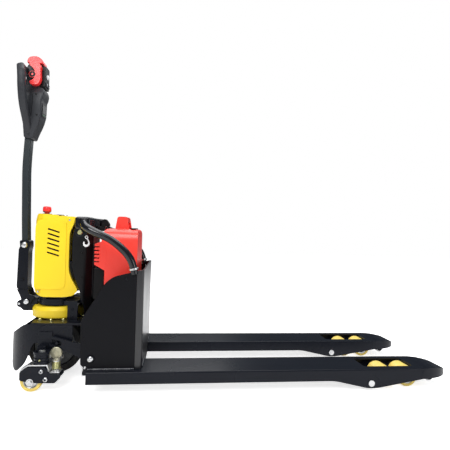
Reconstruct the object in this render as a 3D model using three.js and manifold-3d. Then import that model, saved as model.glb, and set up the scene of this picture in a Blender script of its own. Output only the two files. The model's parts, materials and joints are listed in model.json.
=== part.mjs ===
// Electric pallet jack: drive chassis with a steered drive wheel, two sprung castors and a tiller,
// and a fork frame that carries the battery and slides up the chassis while push rods drive the
// load rollers down. Millimetres, +Z up, +X towards the fork tips, -Y is the right-hand side.
import * as THREE from "three";
import { mergeVertices } from "three/addons/utils/BufferGeometryUtils.js";
import Module from "manifold-3d";

const wasm = await Module();
wasm.setup();

// ---- Driving dimensions. X is measured from the load face while drawing; place() moves the origin.
const TIP_X = 1155;          // fork tip
const HEEL_X = -183;         // fork heel
const OVERALL_W = 560;       // across both forks
const FORK_W = 162;
const FORK_TOP = 80;
const FORK_BOTTOM = 38;
const SHEET = 5;             // fork sheet thickness
const FORK_BEND = 7;         // bend along the top edges of a fork
const GAP = 0.4;             // clearance between pieces that meet
const RUN = 1;               // radial clearance of pins and axles

const STEER_X = -345;        // vertical steering axis
const SKIRT_R = 160;         // drive wheel guard
const DRIVE_R = 105;
const DRUM_R = 96;
const RING_R = 73;
const GUARD_TOP = 212;
const COVER_R = 93;          // front of the power cover, round the steering axis
const COVER_HALF = 80;

const TILLER_PIN = [-458, 276];
const TUBE_HALF_X = 12;
const TUBE_HALF_Y = 19;
const BRACKET_HALF = 25;     // upper part of the tiller bracket
const YOKE_HALF = 33;        // its lower part, which holds the hinge pin

const CASTOR_X = -343;       // swivel axis
const CASTOR_Y = 217;
const CASTOR_R = 37;
const CASTOR_TRAIL = -30;

const ROLLER_R = 37;
const ROLLER_HALF = 44;
const ROLLER_PITCH = 87;
const ARM_PIVOT = [828, 28];
const TANDEM_X = 946;
const ENTRY = [1088, 27];     // guide roller under the fork tip
const ROCKER_PIVOT = [-174, 116];
const ROCKER_REST = 16.4;    // degrees the rocker arm points up when the forks are down
const ROCKER_PIN = [-303, 154];
const ROCKER_LUG = [-196.5, 60.4];
const ARM_LUG = [804.5, 62.8];

const PLATE_Y = 242;         // inner face of a side plate
const PLATE_BEND = 25;       // bend between the load face plate and the side plates
const HOUSING_HALF = 100;    // mast housing
const HOUSING_X = -208;      // its wall next to the battery
const HOUSING_REAR_HALF = 70; // where the rounded corners of that wall begin
const CROSSHEAD_Y = 200;
const BATTERY_HALF = 120;
const BATTERY_BASE = 292.4;
const HOOP_Y = PLATE_Y + 3;
const HOOP_R = 13.5;

const ORIGIN_X = (TIP_X + STEER_X - SKIRT_R) / 2;

// ---- Finishes
const finish = (color, roughness, metalness) =>
  new THREE.MeshStandardMaterial({ color, roughness, metalness });
const blackPaint = finish(0x23252b, 0.45, 0.3);
const blackPlastic = finish(0x1b1c1f, 0.6, 0);
const greyPlastic = finish(0x3a3d42, 0.6, 0);
const yellowCover = finish(0xf2d91c, 0.45, 0);
const redPlastic = finish(0xe2392f, 0.45, 0);
const yellowTyre = finish(0xe0c02c, 0.5, 0);
const blackTyre = finish(0x232325, 0.7, 0);
const zinc = finish(0xc4c9cf, 0.35, 0.9);
const castGrey = finish(0x5b5e62, 0.6, 0.6);
const chrome = finish(0xdadde0, 0.15, 1);
const whitePlastic = finish(0xe6e7ea, 0.5, 0);

// ---- Scene graph
const jack = new THREE.Group();
jack.position.x = -ORIGIN_X;

function add(name, geometry, material) {
  const mesh = new THREE.Mesh(geometry, material);
  mesh.name = name;
  jack.add(mesh);
  return mesh;
}

// Both hands of a piece drawn on the +Y side: the right-hand one is its mirror image.
function addPair(name, geometry, material) {
  add(`${name}_left`, geometry, material);
  add(`${name}_right`, geometryOf(solidOf(geometry).mirror([0, 1, 0])), material);
}

// ---- Booleans
function solidOf(geometry) {
  const bare = geometry.clone();
  bare.deleteAttribute("normal");
  bare.deleteAttribute("uv");
  const merged = mergeVertices(bare, 1e-4);
  return new wasm.Manifold(
    new wasm.Mesh({
      numProp: 3,
      vertProperties: new Float32Array(merged.attributes.position.array),
      triVerts: new Uint32Array(merged.index.array),
    }),
  );
}

function geometryOf(solid) {
  const mesh = solid.getMesh();
  const indexed = new THREE.BufferGeometry();
  indexed.setAttribute("position", new THREE.BufferAttribute(mesh.vertProperties, 3));
  indexed.setIndex(new THREE.BufferAttribute(mesh.triVerts, 1));
  const geometry = indexed.toNonIndexed();
  geometry.computeVertexNormals();
  return geometry;
}

const join = (...pieces) => geometryOf(pieces.map(solidOf).reduce((a, b) => a.add(b)));
const cut = (body, ...tools) =>
  geometryOf(tools.reduce((left, tool) => left.subtract(solidOf(tool)), solidOf(body)));
const common = (a, b) => geometryOf(solidOf(a).intersect(solidOf(b)));

// ---- Outlines. A corner is [u, v] or [u, v, radius].
function outline(corners, radius = 0) {
  const shape = new THREE.Shape();
  corners.forEach((corner, i) => {
    const here = new THREE.Vector2(corner[0], corner[1]);
    const before = corners.at(i - 1);
    const after = corners[(i + 1) % corners.length];
    const toBefore = new THREE.Vector2(before[0], before[1]).sub(here);
    const toAfter = new THREE.Vector2(after[0], after[1]).sub(here);
    const asked = corner[2] ?? radius;
    const reach = Math.min(asked, toBefore.length() / 2.01, toAfter.length() / 2.01);
    const start = here.clone().addScaledVector(toBefore.normalize(), reach);
    const end = here.clone().addScaledVector(toAfter.normalize(), reach);
    if (i === 0) shape.moveTo(start.x, start.y);
    else shape.lineTo(start.x, start.y);
    if (reach > 0) shape.quadraticCurveTo(here.x, here.y, end.x, end.y);
  });
  shape.closePath();
  return shape;
}

function circle(u, v, r) {
  const path = new THREE.Path();
  path.absarc(u, v, r, 0, Math.PI * 2);
  return path;
}

// ---- Solids
function prismXZ(shape, yLow, yHigh, curveSegments = 4) {
  const options = { depth: yHigh - yLow, bevelEnabled: false, curveSegments };
  return new THREE.ExtrudeGeometry(shape, options).rotateX(Math.PI / 2).translate(0, yHigh, 0);
}

function prismXY(shape, zLow, zHigh, curveSegments = 4) {
  const options = { depth: zHigh - zLow, bevelEnabled: false, curveSegments };
  return new THREE.ExtrudeGeometry(shape, options).translate(0, 0, zLow);
}

function block(xLow, xHigh, yLow, yHigh, zLow, zHigh) {
  return new THREE.BoxGeometry(xHigh - xLow, yHigh - yLow, zHigh - zLow).translate(
    (xLow + xHigh) / 2,
    (yLow + yHigh) / 2,
    (zLow + zHigh) / 2,
  );
}

function rodY([x, z], r, yLow, yHigh, sides = 16) {
  return new THREE.CylinderGeometry(r, r, yHigh - yLow, sides).translate(x, (yLow + yHigh) / 2, z);
}

function rodZ([x, y], r, zLow, zHigh, sides = 24) {
  return new THREE.CylinderGeometry(r, r, zHigh - zLow, sides)
    .rotateX(Math.PI / 2)
    .translate(x, y, (zLow + zHigh) / 2);
}

// A turned piece about a Y axis through [x, z]. The profile is [radius, y] and closes on itself.
// The first facet is turned half a side, so that a wheel stands on a flat.
function turnedY([x, z], y, profile, sides = 32) {
  const grow = 1 / Math.cos(Math.PI / sides);
  const points = profile.map(([r, v]) => new THREE.Vector2(r * grow, v));
  points.push(points[0].clone());
  return new THREE.LatheGeometry(points, sides, Math.PI / sides).translate(x, y, z);
}

function turnedZ([x, y], profile, sides = 24) {
  const points = profile.map(([r, v]) => new THREE.Vector2(r, v));
  points.push(points[0].clone());
  return new THREE.LatheGeometry(points, sides).rotateX(Math.PI / 2).translate(x, y, 0);
}

// A wheel or tyre: a ring with rounded shoulders.
function ring([x, z], y, inner, outer, half, shoulder, sides) {
  return turnedY(
    [x, z],
    y,
    [
      [inner, -half],
      [outer - shoulder, -half],
      [outer, -half + shoulder],
      [outer, half - shoulder],
      [outer - shoulder, half],
      [inner, half],
    ],
    sides,
  );
}

function swept(points, shape, steps) {
  const path = new THREE.CatmullRomCurve3(points.map((p) => new THREE.Vector3(...p)));
  return new THREE.ExtrudeGeometry(shape, { steps, extrudePath: path, curveSegments: 3 });
}

// ---- Fork frame
const FORK_Y = (OVERALL_W - FORK_W) / 2;

const TIP_POWER = 0.55;       // 0.5 is an elliptical tip, 1 a pointed one

// Plan of a fork: parallel sides, then a tip that narrows to a nose.
function forkPlan(half, tip, taperStart) {
  const side = [];
  const steps = 9;
  for (let i = 0; i <= steps; i++) {
    const s = Math.sin((i / steps) * (Math.PI / 2));
    side.push([taperStart + (tip - taperStart) * s, half * (1 - s * s) ** TIP_POWER]);
  }
  const other = side.slice(0, -1).reverse().map(([x, y]) => [x, -y]);
  const corners = [[HEEL_X, half], ...side, ...other, [HEEL_X, -half]];
  return outline(corners.map(([x, y]) => [x, y + FORK_Y]));
}

function fork() {
  const noseX = 1030;
  const side = outline([
    [HEEL_X, FORK_TOP],
    [noseX, FORK_TOP],
    [1085, FORK_TOP - 2],
    [1130, FORK_TOP - 8, 14],
    [TIP_X, FORK_TOP - 24, 10],
    [TIP_X, FORK_BOTTOM + 3, 6],
    [noseX, FORK_BOTTOM + 2],
    [851, 10, 12],
    [815, 10, 12],
    [690, FORK_BOTTOM, 20],
    [HEEL_X, FORK_BOTTOM],
  ]);
  const half = FORK_W / 2;
  const section = outline([[-half, 0], [half, 0], [half, FORK_TOP, FORK_BEND], [-half, FORK_TOP, FORK_BEND]]);
  const length = { depth: TIP_X - HEEL_X + 20, bevelEnabled: false, curveSegments: 4 };
  const bent = new THREE.ExtrudeGeometry(section, length)
    .rotateX(Math.PI / 2)
    .rotateZ(Math.PI / 2)
    .translate(HEEL_X - 10, FORK_Y, 0);
  const body = common(
    common(bent, prismXZ(side, FORK_Y - half - 5, FORK_Y + half + 5)),
    prismXY(forkPlan(half, TIP_X, noseX - 10), 0, FORK_TOP + 5),
  );
  const underside = outline([
    [HEEL_X - 10, -5],
    [HEEL_X - 10, FORK_TOP - SHEET],
    [noseX, FORK_TOP - SHEET],
    [1085, FORK_TOP - 12],
    [1112, FORK_TOP - 17],
    [1112, -5],
  ]);
  const channel = common(
    prismXY(forkPlan(half - SHEET, 1116, 1000), -5, FORK_TOP - SHEET),
    prismXZ(underside, 0, OVERALL_W),
  );
  const heelEnd = block(HEEL_X - 20, HEEL_X + 10, FORK_Y - half + 5, FORK_Y + half - 5, -5, FORK_TOP - SHEET);
  const window = prismXY(
    outline([[813, FORK_Y - 50], [1005, FORK_Y - 50], [1005, FORK_Y + 50], [813, FORK_Y + 50]], 14),
    FORK_TOP - 20,
    FORK_TOP + 20,
  );
  const pinHole = rodY(ARM_PIVOT, 10 + RUN, 0, OVERALL_W);
  const entryLug = prismXZ(
    outline([[1074, 70], [1104, 66], [1098, 20, 8], [1078, 20, 8]]), FORK_Y + 24, FORK_Y + 29);
  const entryPin = rodY(ENTRY, 6, FORK_Y - 29, FORK_Y + 29, 12);
  const lugSlot = block(HEEL_X - 10, -122, FORK_Y - 27, FORK_Y + 27, 60, 100);
  const heelStep = block(HEEL_X - 10, 0, 0, OVERALL_W, FORK_TOP - GAP, FORK_TOP + 20);
  const shell = cut(body, channel, heelEnd, window, pinHole, lugSlot, heelStep);
  return join(shell, entryLug, entryLug.clone().translate(0, -53, 0), entryPin);
}
addPair("fork", fork(), blackPaint);

// Hinge pin of the load arm, headed at both fork cheeks.
function pivotPin() {
  const half = FORK_W / 2;
  return join(
    rodY(ARM_PIVOT, 10, FORK_Y - half - 3, FORK_Y + half + 3),
    rodY(ARM_PIVOT, 11.5, FORK_Y + half + GAP, FORK_Y + half + 4, 20),
    rodY(ARM_PIVOT, 11.5, FORK_Y - half - 4, FORK_Y - half - GAP, 20),
  );
}

const plateShape = () => outline([
  [-PLATE_BEND - GAP, FORK_TOP],
  [-PLATE_BEND - GAP, 419],
  [-46, 414, 8],
  [-104, 400, 20],
  [-132, 378, 20],
  [-208, 252, 16],
  [-211, 240, 8],
  [-208, 95, 6],
  [-189, FORK_TOP],
]);

function sidePlate() {
  const shape = plateShape();
  shape.holes.push(circle(...ROCKER_PIVOT, 12 + RUN));
  return prismXZ(shape, PLATE_Y, PLATE_Y + 6);
}
addPair("side_plate", sidePlate(), blackPaint);

// Bent sheet: the load face, with a rounded return at each side that meets the side plate.
function loadPlate() {
  const outer = PLATE_Y + 6;
  const plan = outline([
    [-PLATE_BEND, -outer],
    [0, -outer, PLATE_BEND - 1],
    [0, outer, PLATE_BEND - 1],
    [-PLATE_BEND, outer],
    [-PLATE_BEND, PLATE_Y],
    [-6, PLATE_Y, PLATE_BEND - 7],
    [-6, -PLATE_Y, PLATE_BEND - 7],
    [-PLATE_BEND, -PLATE_Y],
  ]);
  const topLine = outline([[-30, FORK_TOP], [-30, 420], [0, 425], [0, FORK_TOP]]);
  const upper = common(prismXY(plan, 0, 430, 8), prismXZ(topLine, -outer - 5, outer + 5));
  const low = FORK_Y - FORK_W / 2 - 2;
  return join(upper, block(-6, 0, -low, low, FORK_BOTTOM, 90));
}
add("load_face_plate", loadPlate(), blackPaint);

// Battery shelf between the side plates, with two upright guides.
function batteryTray() {
  const edge = PLATE_Y - GAP;
  const shelf = block(-180, -6 - GAP, -PLATE_Y + 19, PLATE_Y - 19, 286, BATTERY_BASE - GAP);
  const wings = block(-180, -PLATE_BEND - GAP, -edge, edge, 286, BATTERY_BASE - GAP);
  const guide = block(-150, -40, BATTERY_HALF + 2, BATTERY_HALF + 8, 290, 328);
  return join(shelf, wings, guide, guide.clone().translate(0, -2 * BATTERY_HALF - 10, 0));
}
add("battery_tray", batteryTray(), blackPaint);
add("heel_beam", block(-120, -6 - GAP, -117, 117, 44, 50), blackPaint);

// Bent guard tube that straddles the side plate and bends in to the crosshead.
function guardTube() {
  const points = [
    [-33, HOOP_Y, 408],
    [-39, HOOP_Y, 435],
    [-51, HOOP_Y, 464],
    [-75, HOOP_Y, 493],
    [-121, HOOP_Y, 529],
    [-166, HOOP_Y, 549],
    [-197, HOOP_Y - 5, 564],
    [-213, HOOP_Y - 20, 575],
    [-218, CROSSHEAD_Y + 8, 582],
    [-219, CROSSHEAD_Y - 10, 584],
  ];
  const vectors = points.map((p) => new THREE.Vector3(...p));
  const path = new THREE.CatmullRomCurve3(vectors, false, "centripetal");
  const section = new THREE.Shape();
  section.absarc(0, 0, HOOP_R, 0, Math.PI * 2);
  const tube = new THREE.ExtrudeGeometry(section, { steps: 22, extrudePath: path, curveSegments: 6 });
  const saddle = block(-90, 0, PLATE_Y - GAP, PLATE_Y + 6 + GAP, 380, 425);
  const crossheadEnd = block(-260, -180, 0, CROSSHEAD_Y + GAP, 540, 640);
  return cut(tube, saddle, crossheadEnd);
}
addPair("guard_tube", guardTube(), blackPaint);

// Mast housing: a channel open towards the power cover and at the bottom, with ears for the catch.
const LATCH_PIN = [-184, 563];

function mastHousing() {
  const corners = [
    [-262, 606, 10],
    [HOUSING_X, 606, 10],
    [HOUSING_X, 230],
    [-222, 230],
    [-250, 335, 20],
    [-272, 388, 20],
    [-279, 450, 20],
    [-279, 530, 20],
  ];
  const inner = [[-300, 598], [0, 598], [0, 200], [-300, 200]];
  const plan = (inset) => outline([
    [-320, -HOUSING_HALF + inset],
    [-232, -HOUSING_HALF + inset, 10],
    [HOUSING_X - inset, -HOUSING_REAR_HALF, 6],
    [HOUSING_X - inset, HOUSING_REAR_HALF, 6],
    [-232, HOUSING_HALF - inset, 10],
    [-320, HOUSING_HALF - inset],
  ]);
  const planned = (shape, inset) =>
    common(prismXZ(outline(shape), -OVERALL_W, OVERALL_W), prismXY(plan(inset), 0, 700));
  const outer = planned(corners, 0);
  const hollow = planned(inner, 6);
  const [lx, lz] = LATCH_PIN;
  const earShape = outline([
    [HOUSING_X - 2, lz - 10],
    [lx + 7, lz - 8, 7],
    [lx + 7, lz + 8, 7],
    [HOUSING_X - 2, lz + 12],
  ]);
  const ear = prismXZ(earShape, 17, 22);
  const pin = rodY(LATCH_PIN, 3, -20, 20, 10);
  return join(cut(outer, hollow), ear, ear.clone().translate(0, -39, 0), pin);
}
add("mast_housing", mastHousing(), blackPlastic);

// Cap between the housing and the guard tube.
function crosshead() {
  const shape = outline([[-250, 561], [-197, 561], [-197, 606], [-250, 606]], 12);
  return prismXZ(shape, HOUSING_HALF + GAP, CROSSHEAD_Y, 4);
}
addPair("crosshead", crosshead(), blackPlastic);

// ---- Lift linkage: ram, rocker with torsion tube, push rods
const CYLINDER_X = -238;
add("lift_ram", join(
  rodZ([CYLINDER_X, 0], 13, 340, 590),
  rodZ([CYLINDER_X, 0], 19, 584, 597.6),
), chrome);

// Torsion tube with an open-ended arm at each side that swings on the chassis pin, and a lug for
// each push rod.
function rocker() {
  const [px, pz] = ROCKER_PIVOT;
  const rest = (ROCKER_REST * Math.PI) / 180;
  const onArm = (u, v, radius) => [
    px - u * Math.cos(rest) + v * Math.sin(rest),
    pz + u * Math.sin(rest) + v * Math.cos(rest),
    radius,
  ];
  const armShape = outline([
    onArm(-22, 20, 14),
    onArm(158, 18, 5),
    onArm(158, 9.8, 2),
    onArm(118, 9.8, 9),
    onArm(118, -9.8, 9),
    onArm(158, -9.8, 2),
    onArm(158, -18, 5),
    onArm(100, -18, 20),
    onArm(0, -36, 20),
    onArm(-22, -20, 14),
  ]);
  const arm = prismXZ(armShape, 172, 183);
  const [lx, lz] = ROCKER_LUG;
  const lugShape = outline([
    [px + 18, pz + 6, 8],
    [px - 18, pz + 6, 8],
    [lx - 11, lz - 9, 8],
    [lx + 10, lz - 9, 8],
  ]);
  const lug = prismXZ(lugShape, FORK_Y + 14, FORK_Y + 24);
  const lugPin = rodY(ROCKER_LUG, 5, FORK_Y - 24, FORK_Y + 24, 12);
  const half = join(arm, lug, lug.clone().translate(0, -38, 0), lugPin);
  const torsionTube = rodY(ROCKER_PIVOT, 24, -PLATE_Y + 6, PLATE_Y - 6, 20);
  const stubs = rodY(ROCKER_PIVOT, 12, -PLATE_Y - 10, PLATE_Y + 10);
  return join(torsionTube, stubs, half, geometryOf(solidOf(half).mirror([0, 1, 0])));
}
add("lift_rocker", rocker(), blackPaint);

// The rod carries an upward-open claw at each end, so both end pins keep room to swing.
function pushRod() {
  const claw = (x, z) => [
    [x - 13, z + 10],
    [x - 13, z - 16],
    [x + 13, z - 16],
    [x + 13, z + 10],
  ];
  const [rx, rz] = ROCKER_LUG;
  const [ax, az] = ARM_LUG;
  const bar = prismXZ(
    outline([[rx, rz - 12], [ax, az - 10], [ax, az + 4], [rx, rz + 2]]),
    FORK_Y - 10,
    FORK_Y + 10,
  );
  const rear = prismXZ(outline(claw(rx, rz)), FORK_Y - 10, FORK_Y + 10);
  const front = prismXZ(outline(claw(ax, az)), FORK_Y - 10, FORK_Y + 10);
  const notch = ([x, z]) => block(x - 7, x + 7, FORK_Y - 20, FORK_Y + 20, z - 10.5, z + 40);
  return cut(join(bar, rear, front), notch(ROCKER_LUG), notch(ARM_LUG));
}
addPair("push_rod", pushRod(), zinc);

// ---- Load wheels
addPair("load_arm_pin", pivotPin(), zinc);

function loadArm() {
  const [px, pz] = ARM_PIVOT;
  const [lx, lz] = ARM_LUG;
  const tube = rodY(ARM_PIVOT, 17, FORK_Y - 66, FORK_Y + 66, 20);
  const cheekShape = outline([
    [px - 17, pz - 15, 14],
    [TANDEM_X + 14, 24, 12],
    [TANDEM_X + 14, 50, 12],
    [px - 10, pz + 16, 12],
  ]);
  const cheek = prismXZ(cheekShape, FORK_Y + 56, FORK_Y + 64);
  const stub = rodY([TANDEM_X, ROLLER_R], 10, FORK_Y + 47, FORK_Y + 57);
  const lugShape = outline([
    [px + 12, pz + 4],
    [px - 14, pz + 2],
    [lx - 7.5, lz + 3.5, 6],
    [lx + 8, lz + 6, 6],
  ]);
  const lug = prismXZ(lugShape, FORK_Y + 12, FORK_Y + 19);
  const side = [cheek, stub, lug];
  const mirror = (piece) =>
    geometryOf(solidOf(piece).translate([0, -FORK_Y, 0]).mirror([0, 1, 0]).translate([0, FORK_Y, 0]));
  const body = join(tube, ...side, ...side.map(mirror), rodY(ARM_LUG, 5, FORK_Y - 19, FORK_Y + 19, 12));
  return cut(body, rodY(ARM_PIVOT, 10 + RUN, 0, OVERALL_W));
}
addPair("load_arm", loadArm(), blackPaint);

function tandem() {
  const ends = [TANDEM_X - ROLLER_PITCH / 2, TANDEM_X + ROLLER_PITCH / 2];
  const plateShape = outline([
    [ends[0] - 13, ROLLER_R - 12, 10],
    [ends[1] + 13, ROLLER_R - 12, 10],
    [ends[1] + 13, ROLLER_R + 12, 10],
    [ends[0] - 13, ROLLER_R + 12, 10],
  ]);
  const plate = prismXZ(plateShape, FORK_Y + 46, FORK_Y + 53);
  const axles = ends.map((x) => rodY([x, ROLLER_R], 8, FORK_Y - 54, FORK_Y + 54));
  const body = join(plate, plate.clone().translate(0, -99, 0), ...axles);
  return cut(
    body,
    rodY([TANDEM_X, ROLLER_R], 10 + RUN, FORK_Y + 40, FORK_Y + 60),
    rodY([TANDEM_X, ROLLER_R], 10 + RUN, FORK_Y - 60, FORK_Y - 40),
  );
}
addPair("tandem_link", tandem(), zinc);

for (const [name, x] of [
  ["load_roller_inner", TANDEM_X - ROLLER_PITCH / 2],
  ["load_roller_outer", TANDEM_X + ROLLER_PITCH / 2],
]) {
  addPair(name, ring([x, ROLLER_R], FORK_Y, 8 + RUN, ROLLER_R, ROLLER_HALF, 4, 24), yellowTyre);
}

// Small guide roller under the fork tip, on its own pin.
function entryRoller() {
  return turnedY(ENTRY, FORK_Y, [
    [6 + RUN, -22],
    [13, -22],
    [13, 22],
    [6 + RUN, 22],
  ], 16);
}
addPair("entry_roller", entryRoller(), whitePlastic);

// ---- Battery
function batteryCase() {
  const corners = [
    [-36, 566, 18],
    [-36, BATTERY_BASE, 8],
    [-152, BATTERY_BASE, 8],
    [-156, 352, 6],
    [-156, 408],
    [-194, 430, 4],
    [-194, 508, 6],
    [-170, 516],
    [-160, 566, 14],
  ];
  const section = outline([
    [-BATTERY_HALF, BATTERY_BASE - 10],
    [BATTERY_HALF, BATTERY_BASE - 10],
    [BATTERY_HALF, 566, 45],
    [-BATTERY_HALF, 566, 45],
  ]);
  const length = { depth: 200, bevelEnabled: false, curveSegments: 4 };
  const rounded = new THREE.ExtrudeGeometry(section, length)
    .rotateX(Math.PI / 2)
    .rotateZ(Math.PI / 2)
    .translate(-210, 0, 0);
  const body = common(rounded, prismXZ(outline(corners), -BATTERY_HALF - 5, BATTERY_HALF + 5, 3));
  const slots = [0, 1, 2, 3, 4].map((i) =>
    block(-200, -176, -BATTERY_HALF - 5, BATTERY_HALF + 5, 438 + i * 14, 443 + i * 14));
  const grip = prismXZ(
    outline([[-129, 558], [-120, 614, 8], [-84, 614, 8], [-74, 558]]),
    -62,
    62,
  );
  const fingers = block(-148, -58, -42, 42, 567, 592);
  const groove = block(-200, -150, -24, 24, 280, 600);
  return join(cut(body, groove, ...slots), cut(grip, fingers));
}
add("battery_case", batteryCase(), redPlastic);

// Catch on the housing, with its nose in the groove of the battery.
function batteryLatch() {
  const shape = outline([
    [-190, 556, 3],
    [-190, 570, 4],
    [-181, 603, 6],
    [-171, 603, 6],
    [-158, 584, 4],
    [-158, 574, 3],
    [-173, 575, 6],
    [-177, 555, 3],
  ]);
  return cut(prismXZ(shape, -16, 16), rodY(LATCH_PIN, 3 + RUN / 2, -20, 20, 10));
}
add("battery_latch", batteryLatch(), blackPlastic);

// ---- Drive chassis
const aboutSteer = (r) => {
  const shape = new THREE.Shape();
  shape.absarc(STEER_X, 0, r, 0, Math.PI * 2);
  return shape;
};

// Plan of a wall that is straight along both sides and round at the front.
function horseshoe(r, rear) {
  const shape = new THREE.Shape();
  shape.moveTo(rear, -r);
  shape.lineTo(STEER_X, -r);
  shape.absarc(STEER_X, 0, r, -Math.PI / 2, Math.PI / 2, true);
  shape.lineTo(rear, r);
  shape.closePath();
  return shape;
}

function wheelGuard() {
  const wall = cut(
    prismXY(horseshoe(SKIRT_R, -257), 0, 260, 18),
    prismXY(horseshoe(SKIRT_R - 5, -200), -5, 265, 18),
  );
  const profile = outline([
    [-250, GUARD_TOP],
    [-430, GUARD_TOP, 20],
    [-510, 152, 12],
    [-510, 70, 30],
    [-470, 24, 24],
    [-425, 68, 24],
    [-392, 148, 12],
    [-272, 148, 8],
    [-250, 172],
  ]);
  const pinSlot = rodY(ROCKER_PIN, 5 + RUN, -SKIRT_R - 10, SKIRT_R + 10, 12);
  return cut(common(wall, prismXZ(profile, -SKIRT_R - 5, SKIRT_R + 5)), pinSlot);
}
add("wheel_guard", wheelGuard(), blackPaint);

// Deck over the guard, two columns and the bearing plate that carries the power pack.
function driveFrame() {
  const deckTop = GUARD_TOP + GAP + 7;
  const deck = prismXY(horseshoe(SKIRT_R, -217), GUARD_TOP + GAP, deckTop, 14);
  const deckTrim = block(-520, -405, -200, 200, 200, 240);
  const column = block(-288, -252, 94, 108, deckTop - 2, 290);
  const shoulder = block(-300, -252, -108, 108, 276, 291);
  const tongue = block(-300, -218, -60, 60, 276, 291);
  const top = prismXY(aboutSteer(RING_R), 268, 291, 20);
  const mastFoot = block(-230, -218, -50, 50, deckTop - 3, 280);
  const pins = rodY(ROCKER_PIN, 5, SKIRT_R - 20, 186, 12);
  const pinX = ROCKER_PIN[0];
  const hanger = block(pinX - 14, pinX + 14, SKIRT_R - 18, SKIRT_R - 5 - GAP, 142, deckTop - 3);
  const half = join(column, pins, hanger);
  const body = join(
    cut(deck, deckTrim),
    half,
    geometryOf(solidOf(half).mirror([0, 1, 0])),
    shoulder,
    tongue,
    top,
    mastFoot,
  );
  return cut(body, rodZ([STEER_X, 0], DRUM_R + 3, 200, 266, 28), rodZ([STEER_X, 0], 31, 255, 300));
}
add("drive_frame", driveFrame(), blackPaint);

function castorMount() {
  const barrel = turnedZ([CASTOR_X, CASTOR_Y], [
    [9 + RUN, 96],
    [25, 96],
    [25, 103],
    [23, 105],
    [25, 107],
    [25, 114],
    [23, 116],
    [25, 118],
    [25, 125],
    [27, 128],
    [27, 136],
    [22, 136],
    [20, 130],
    [9 + RUN, 130],
  ]);
  const arm = block(CASTOR_X - 22, CASTOR_X + 5, SKIRT_R + GAP, CASTOR_Y - 14, 118, 146);
  const foot = block(CASTOR_X - 24, CASTOR_X + 20, SKIRT_R + GAP, SKIRT_R + 8, 118, 190);
  const bore = rodZ([CASTOR_X, CASTOR_Y], 21, 90, 150);
  return join(barrel, cut(join(arm, foot), bore));
}
addPair("castor_mount", castorMount(), blackPaint);

// ---- Castors: zinc swivel fork, black cheeks, spring canister and wheel
const wheelAt = [CASTOR_X + CASTOR_TRAIL, CASTOR_R];

function castorFork() {
  const hat = outline([
    [CASTOR_X - 64, 72],
    [CASTOR_X - 38, 90],
    [CASTOR_X + 22, 90],
    [CASTOR_X + 29, 66],
    [CASTOR_X + 65, 66],
    [CASTOR_X + 65, 70],
    [CASTOR_X + 32, 70],
    [CASTOR_X + 25, 94],
    [CASTOR_X - 40, 94],
    [CASTOR_X - 66, 76],
  ]);
  const plate = prismXZ(hat, CASTOR_Y - 21, CASTOR_Y + 21);
  const kingpin = rodZ([CASTOR_X, CASTOR_Y], 9, 92, 140, 16);
  const nut = rodZ([CASTOR_X, CASTOR_Y], 12, 131, 138, 6);
  return join(plate, kingpin, nut);
}
addPair("castor_fork", castorFork(), zinc);

function castorCheeks() {
  const shape = outline([
    [CASTOR_X - 64, 72, 4],
    [CASTOR_X - 45, 87, 6],
    [CASTOR_X + 21, 87, 8],
    [CASTOR_X + 30, 67, 8],
    [CASTOR_X + 70, 64, 4],
    [CASTOR_X + 70, 52, 8],
    [CASTOR_X + 52, 33, 6],
    [CASTOR_X - 8, 34, 6],
    [CASTOR_X - 50, 40, 6],
    [CASTOR_X - 64, 44, 4],
  ]);
  const cheek = prismXZ(shape, CASTOR_Y + 22, CASTOR_Y + 27);
  const bolts = [[CASTOR_X + 6, 73], [CASTOR_X + 24, 46]].map((at) =>
    rodY(at, 7, CASTOR_Y - 30, CASTOR_Y + 30, 12));
  const axle = rodY(wheelAt, 7, CASTOR_Y - 30, CASTOR_Y + 30, 12);
  return join(cheek, cheek.clone().translate(0, -49, 0), axle, ...bolts);
}
addPair("castor_cheeks", castorCheeks(), blackPaint);

const SPRING_X = 49;         // from the swivel axis

function springCanister() {
  return turnedZ([CASTOR_X + SPRING_X, CASTOR_Y], [
    [0, 70.4],
    [15, 70.4],
    [15, 100],
    [12, 106],
    [0, 109],
  ], 16);
}
addPair("castor_spring", springCanister(), zinc);
addPair("castor_wheel", ring(wheelAt, CASTOR_Y, 7 + RUN, CASTOR_R, 15, 5, 28), yellowTyre);

// ---- Power pack on the bearing plate
const VENT_TOP = 553;        // middle of the highest vent slot
const VENT_PITCH = 17.8;
const VENT_LENGTH = 47;
const VENT_SLOPE = 17;       // degrees down towards the battery

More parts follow.
